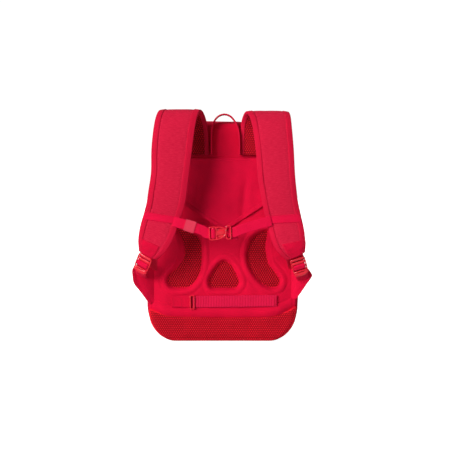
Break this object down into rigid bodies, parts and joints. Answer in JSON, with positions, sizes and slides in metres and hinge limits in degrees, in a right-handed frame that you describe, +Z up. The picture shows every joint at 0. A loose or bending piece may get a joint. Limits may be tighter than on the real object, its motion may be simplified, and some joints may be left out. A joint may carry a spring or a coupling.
{
  "type": "cycling backpack",
  "caption": "Soft red cycling backpack with a hollow zipped body, moulded padded back panel with mesh recesses, padded shoulder straps, chest strap with buckle and haul loop.",
  "frame": {"origin": "middle of the object's box in X and Y, on the flat bottom of the bag", "axes": "+Z up, +X to the right when looking at the strap side, -Y towards the wearer's back"},
  "size_m": [0.364, 0.2626, 0.4727],
  "materials": {
    "cloth": "smooth woven polyester, matte",
    "textured_cloth": "coarse melange weave",
    "binding": "smooth tape",
    "mesh": "open spacer mesh",
    "webbing": "ribbed webbing",
    "elastic": "pale knitted elastic",
    "plastic": "glossy orange-red moulding"
  },
  "bodies": {
    "root": {"body_gusset": "cloth", "front_panel": "cloth", "zip_tape": "webbing", "zip_slider": "plastic", "zip_pull": "plastic", "back_panel": "cloth", "recess_mesh_left": "mesh", "recess_mesh_right": "mesh", "recess_mesh_center": "mesh", "lumbar_pad": "mesh", "cover_flap": "cloth", "lower_web_tab": "webbing", "lower_web_slider": "plastic", "lower_web": "webbing", "shoulder_strap_left": "textured_cloth", "shoulder_strap_right": "textured_cloth", "chest_band_left": "binding", "chest_band_right": "binding", "chest_web_left": "webbing", "chest_web_right": "webbing", "web_keeper": "elastic", "buckle_male": "plastic", "buckle_female": "plastic", "ladder_lock_left": "plastic", "ladder_lock_right": "plastic", "adjuster_web_left": "webbing", "adjuster_web_right": "webbing", "side_tab_left": "cloth", "side_tab_right": "cloth", "haul_loop": "cloth"}
  },
  "joints": []
}
